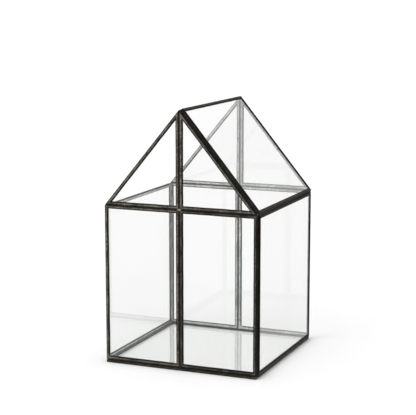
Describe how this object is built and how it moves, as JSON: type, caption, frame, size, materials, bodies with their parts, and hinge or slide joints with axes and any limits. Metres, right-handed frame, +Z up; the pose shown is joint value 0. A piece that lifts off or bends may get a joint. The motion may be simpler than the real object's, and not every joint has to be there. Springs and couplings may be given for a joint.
{
  "type": "glass cloche",
  "caption": "House-shaped glass cloche with a glass floor: framed panes soldered together under a gable roof, with a hinged lid on one slope and the other slope open.",
  "frame": {"origin": "centre of the house's footprint, on the surface it stands on", "axes": "+Z up, -Y towards the front gable, +X towards the roof slope with the lid"},
  "size_m": [0.1543, 0.1516, 0.2418],
  "materials": {
    "black_patina": "black patina on soldered metal came, satin, bare tin grey inside",
    "clear_glass": "clear, very slightly green",
    "hinge_wire": "dark soldered wire and tube"
  },
  "bodies": {
    "house": {"base_came": "black_patina", "base_glass": "clear_glass", "front_left_gable_came": "black_patina", "front_left_gable_glass": "clear_glass", "front_left_lower_came": "black_patina", "front_left_lower_glass": "clear_glass", "front_right_gable_came": "black_patina", "front_right_gable_glass": "clear_glass", "front_right_lower_came": "black_patina", "front_right_lower_glass": "clear_glass", "left_wall_came": "black_patina", "left_wall_glass": "clear_glass", "rear_left_gable_came": "black_patina", "rear_left_gable_glass": "clear_glass", "rear_left_lower_came": "black_patina", "rear_left_lower_glass": "clear_glass", "rear_right_gable_came": "black_patina", "rear_right_gable_glass": "clear_glass", "rear_right_lower_came": "black_patina", "rear_right_lower_glass": "clear_glass", "ridge_hinge_wire": "hinge_wire", "right_wall_came": "black_patina", "right_wall_glass": "clear_glass"},
    "lid": {"front_hinge_lid_knuckle": "hinge_wire", "lid_came": "black_patina", "lid_glass": "clear_glass", "rear_hinge_lid_knuckle": "hinge_wire"}
  },
  "joints": [
    {"name": "lid_hinge", "type": "hinge", "parent": "house", "child": "lid", "pos_m": [0, 0, 0.2393], "axis": [0, -1, 0], "range_deg": [0, 150]}
  ]
}
